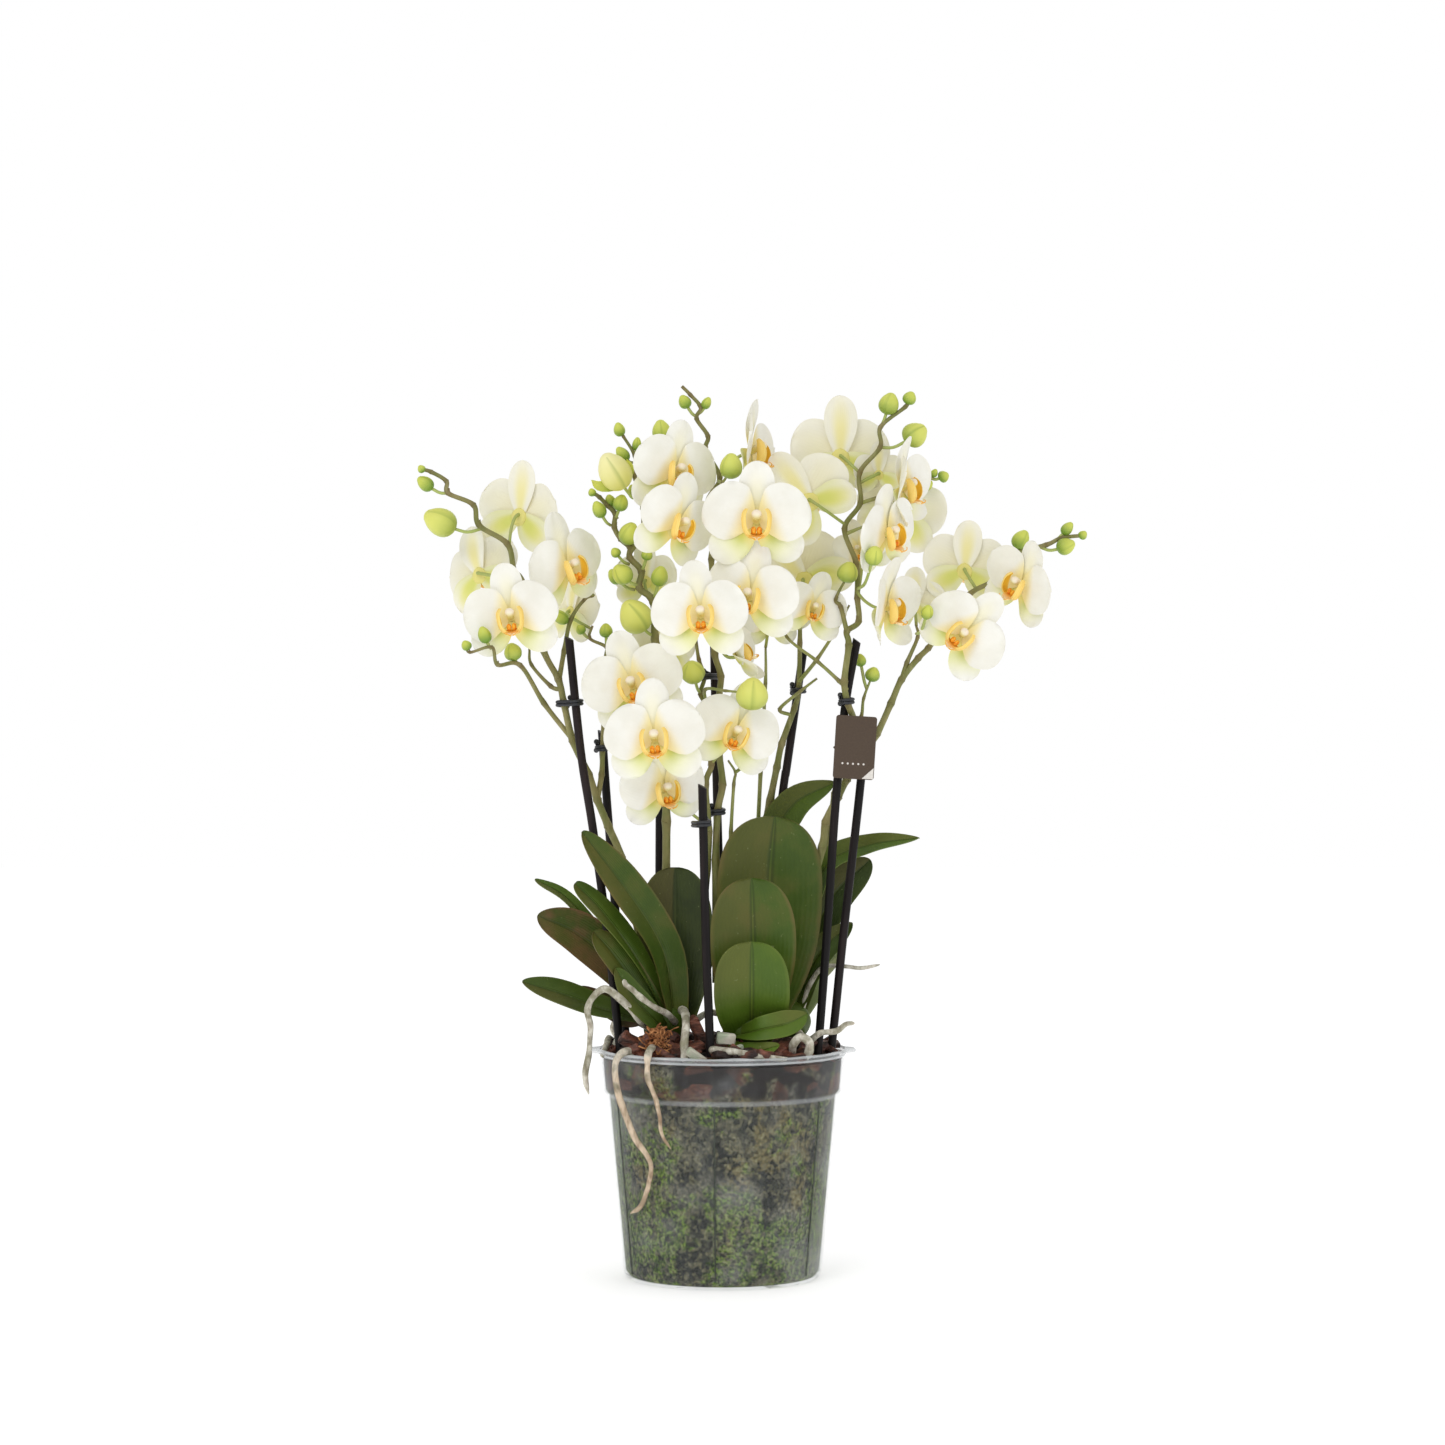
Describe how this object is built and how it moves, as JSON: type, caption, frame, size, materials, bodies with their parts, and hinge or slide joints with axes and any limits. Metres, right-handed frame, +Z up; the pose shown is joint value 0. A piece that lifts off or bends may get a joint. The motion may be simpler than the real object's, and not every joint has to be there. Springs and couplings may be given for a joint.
{
  "type": "potted orchid",
  "caption": "Clear nursery pot of bark holding moth orchids: leaf fans, aerial roots, and branching spikes of white flowers and buds clipped to dark stakes.",
  "frame": {"origin": "centre of the pot's flat base", "axes": "+Z up along the pot's axis; -Y is the front of the plant; +X to the viewer's right"},
  "size_m": [0.3961, 0.15, 0.5263],
  "materials": {
    "clear_pot": "thin clear smoky plastic",
    "bark": "damp bark chips with moss against the wall",
    "tag_card": "satin card",
    "stake_black": "satin",
    "clip_black": "coated wire",
    "leaf": "waxy leaf",
    "stem": "satin stem",
    "petal": "soft petal"
  },
  "bodies": {
    "root": {"care_tag": "tag_card", "clip_1": "clip_black", "clip_2": "clip_black", "clip_3": "clip_black", "clip_4": "clip_black", "clip_5": "clip_black", "clip_6": "clip_black", "clip_7": "clip_black", "flower_01": "petal", "flower_02": "petal", "flower_03": "petal", "flower_04": "petal", "flower_05": "petal", "flower_07": "petal", "flower_08": "petal", "flower_10": "petal", "flower_11": "petal", "flower_12": "petal", "flower_13": "petal", "flower_14": "petal", "flower_15": "petal", "flower_16": "petal", "flower_17": "petal", "flower_18": "petal", "flower_19": "petal", "flower_20": "petal", "flower_21": "petal", "flower_22": "petal", "flower_23": "petal", "flower_24": "petal", "flower_25": "petal", "flower_26": "petal", "flower_27": "petal", "flower_28": "petal", "flower_29": "petal", "flower_30": "petal", "flower_31": "petal", "flower_32": "petal", "flower_34": "petal", "plant_left": "leaf", "plant_middle": "leaf", "plant_right": "leaf", "pot": "clear_pot", "potting_bark": "bark", "spike_1": "stem", "spike_2": "stem", "spike_3": "stem", "spike_4": "stem", "spike_5": "stem", "spike_6": "stem", "spike_7": "stem", "spike_8": "stem", "stake_1": "stake_black", "stake_2": "stake_black", "stake_3": "stake_black", "stake_4": "stake_black", "stake_5": "stake_black", "stake_6": "stake_black", "stake_7": "stake_black", "stake_8": "stake_black"}
  },
  "joints": []
}
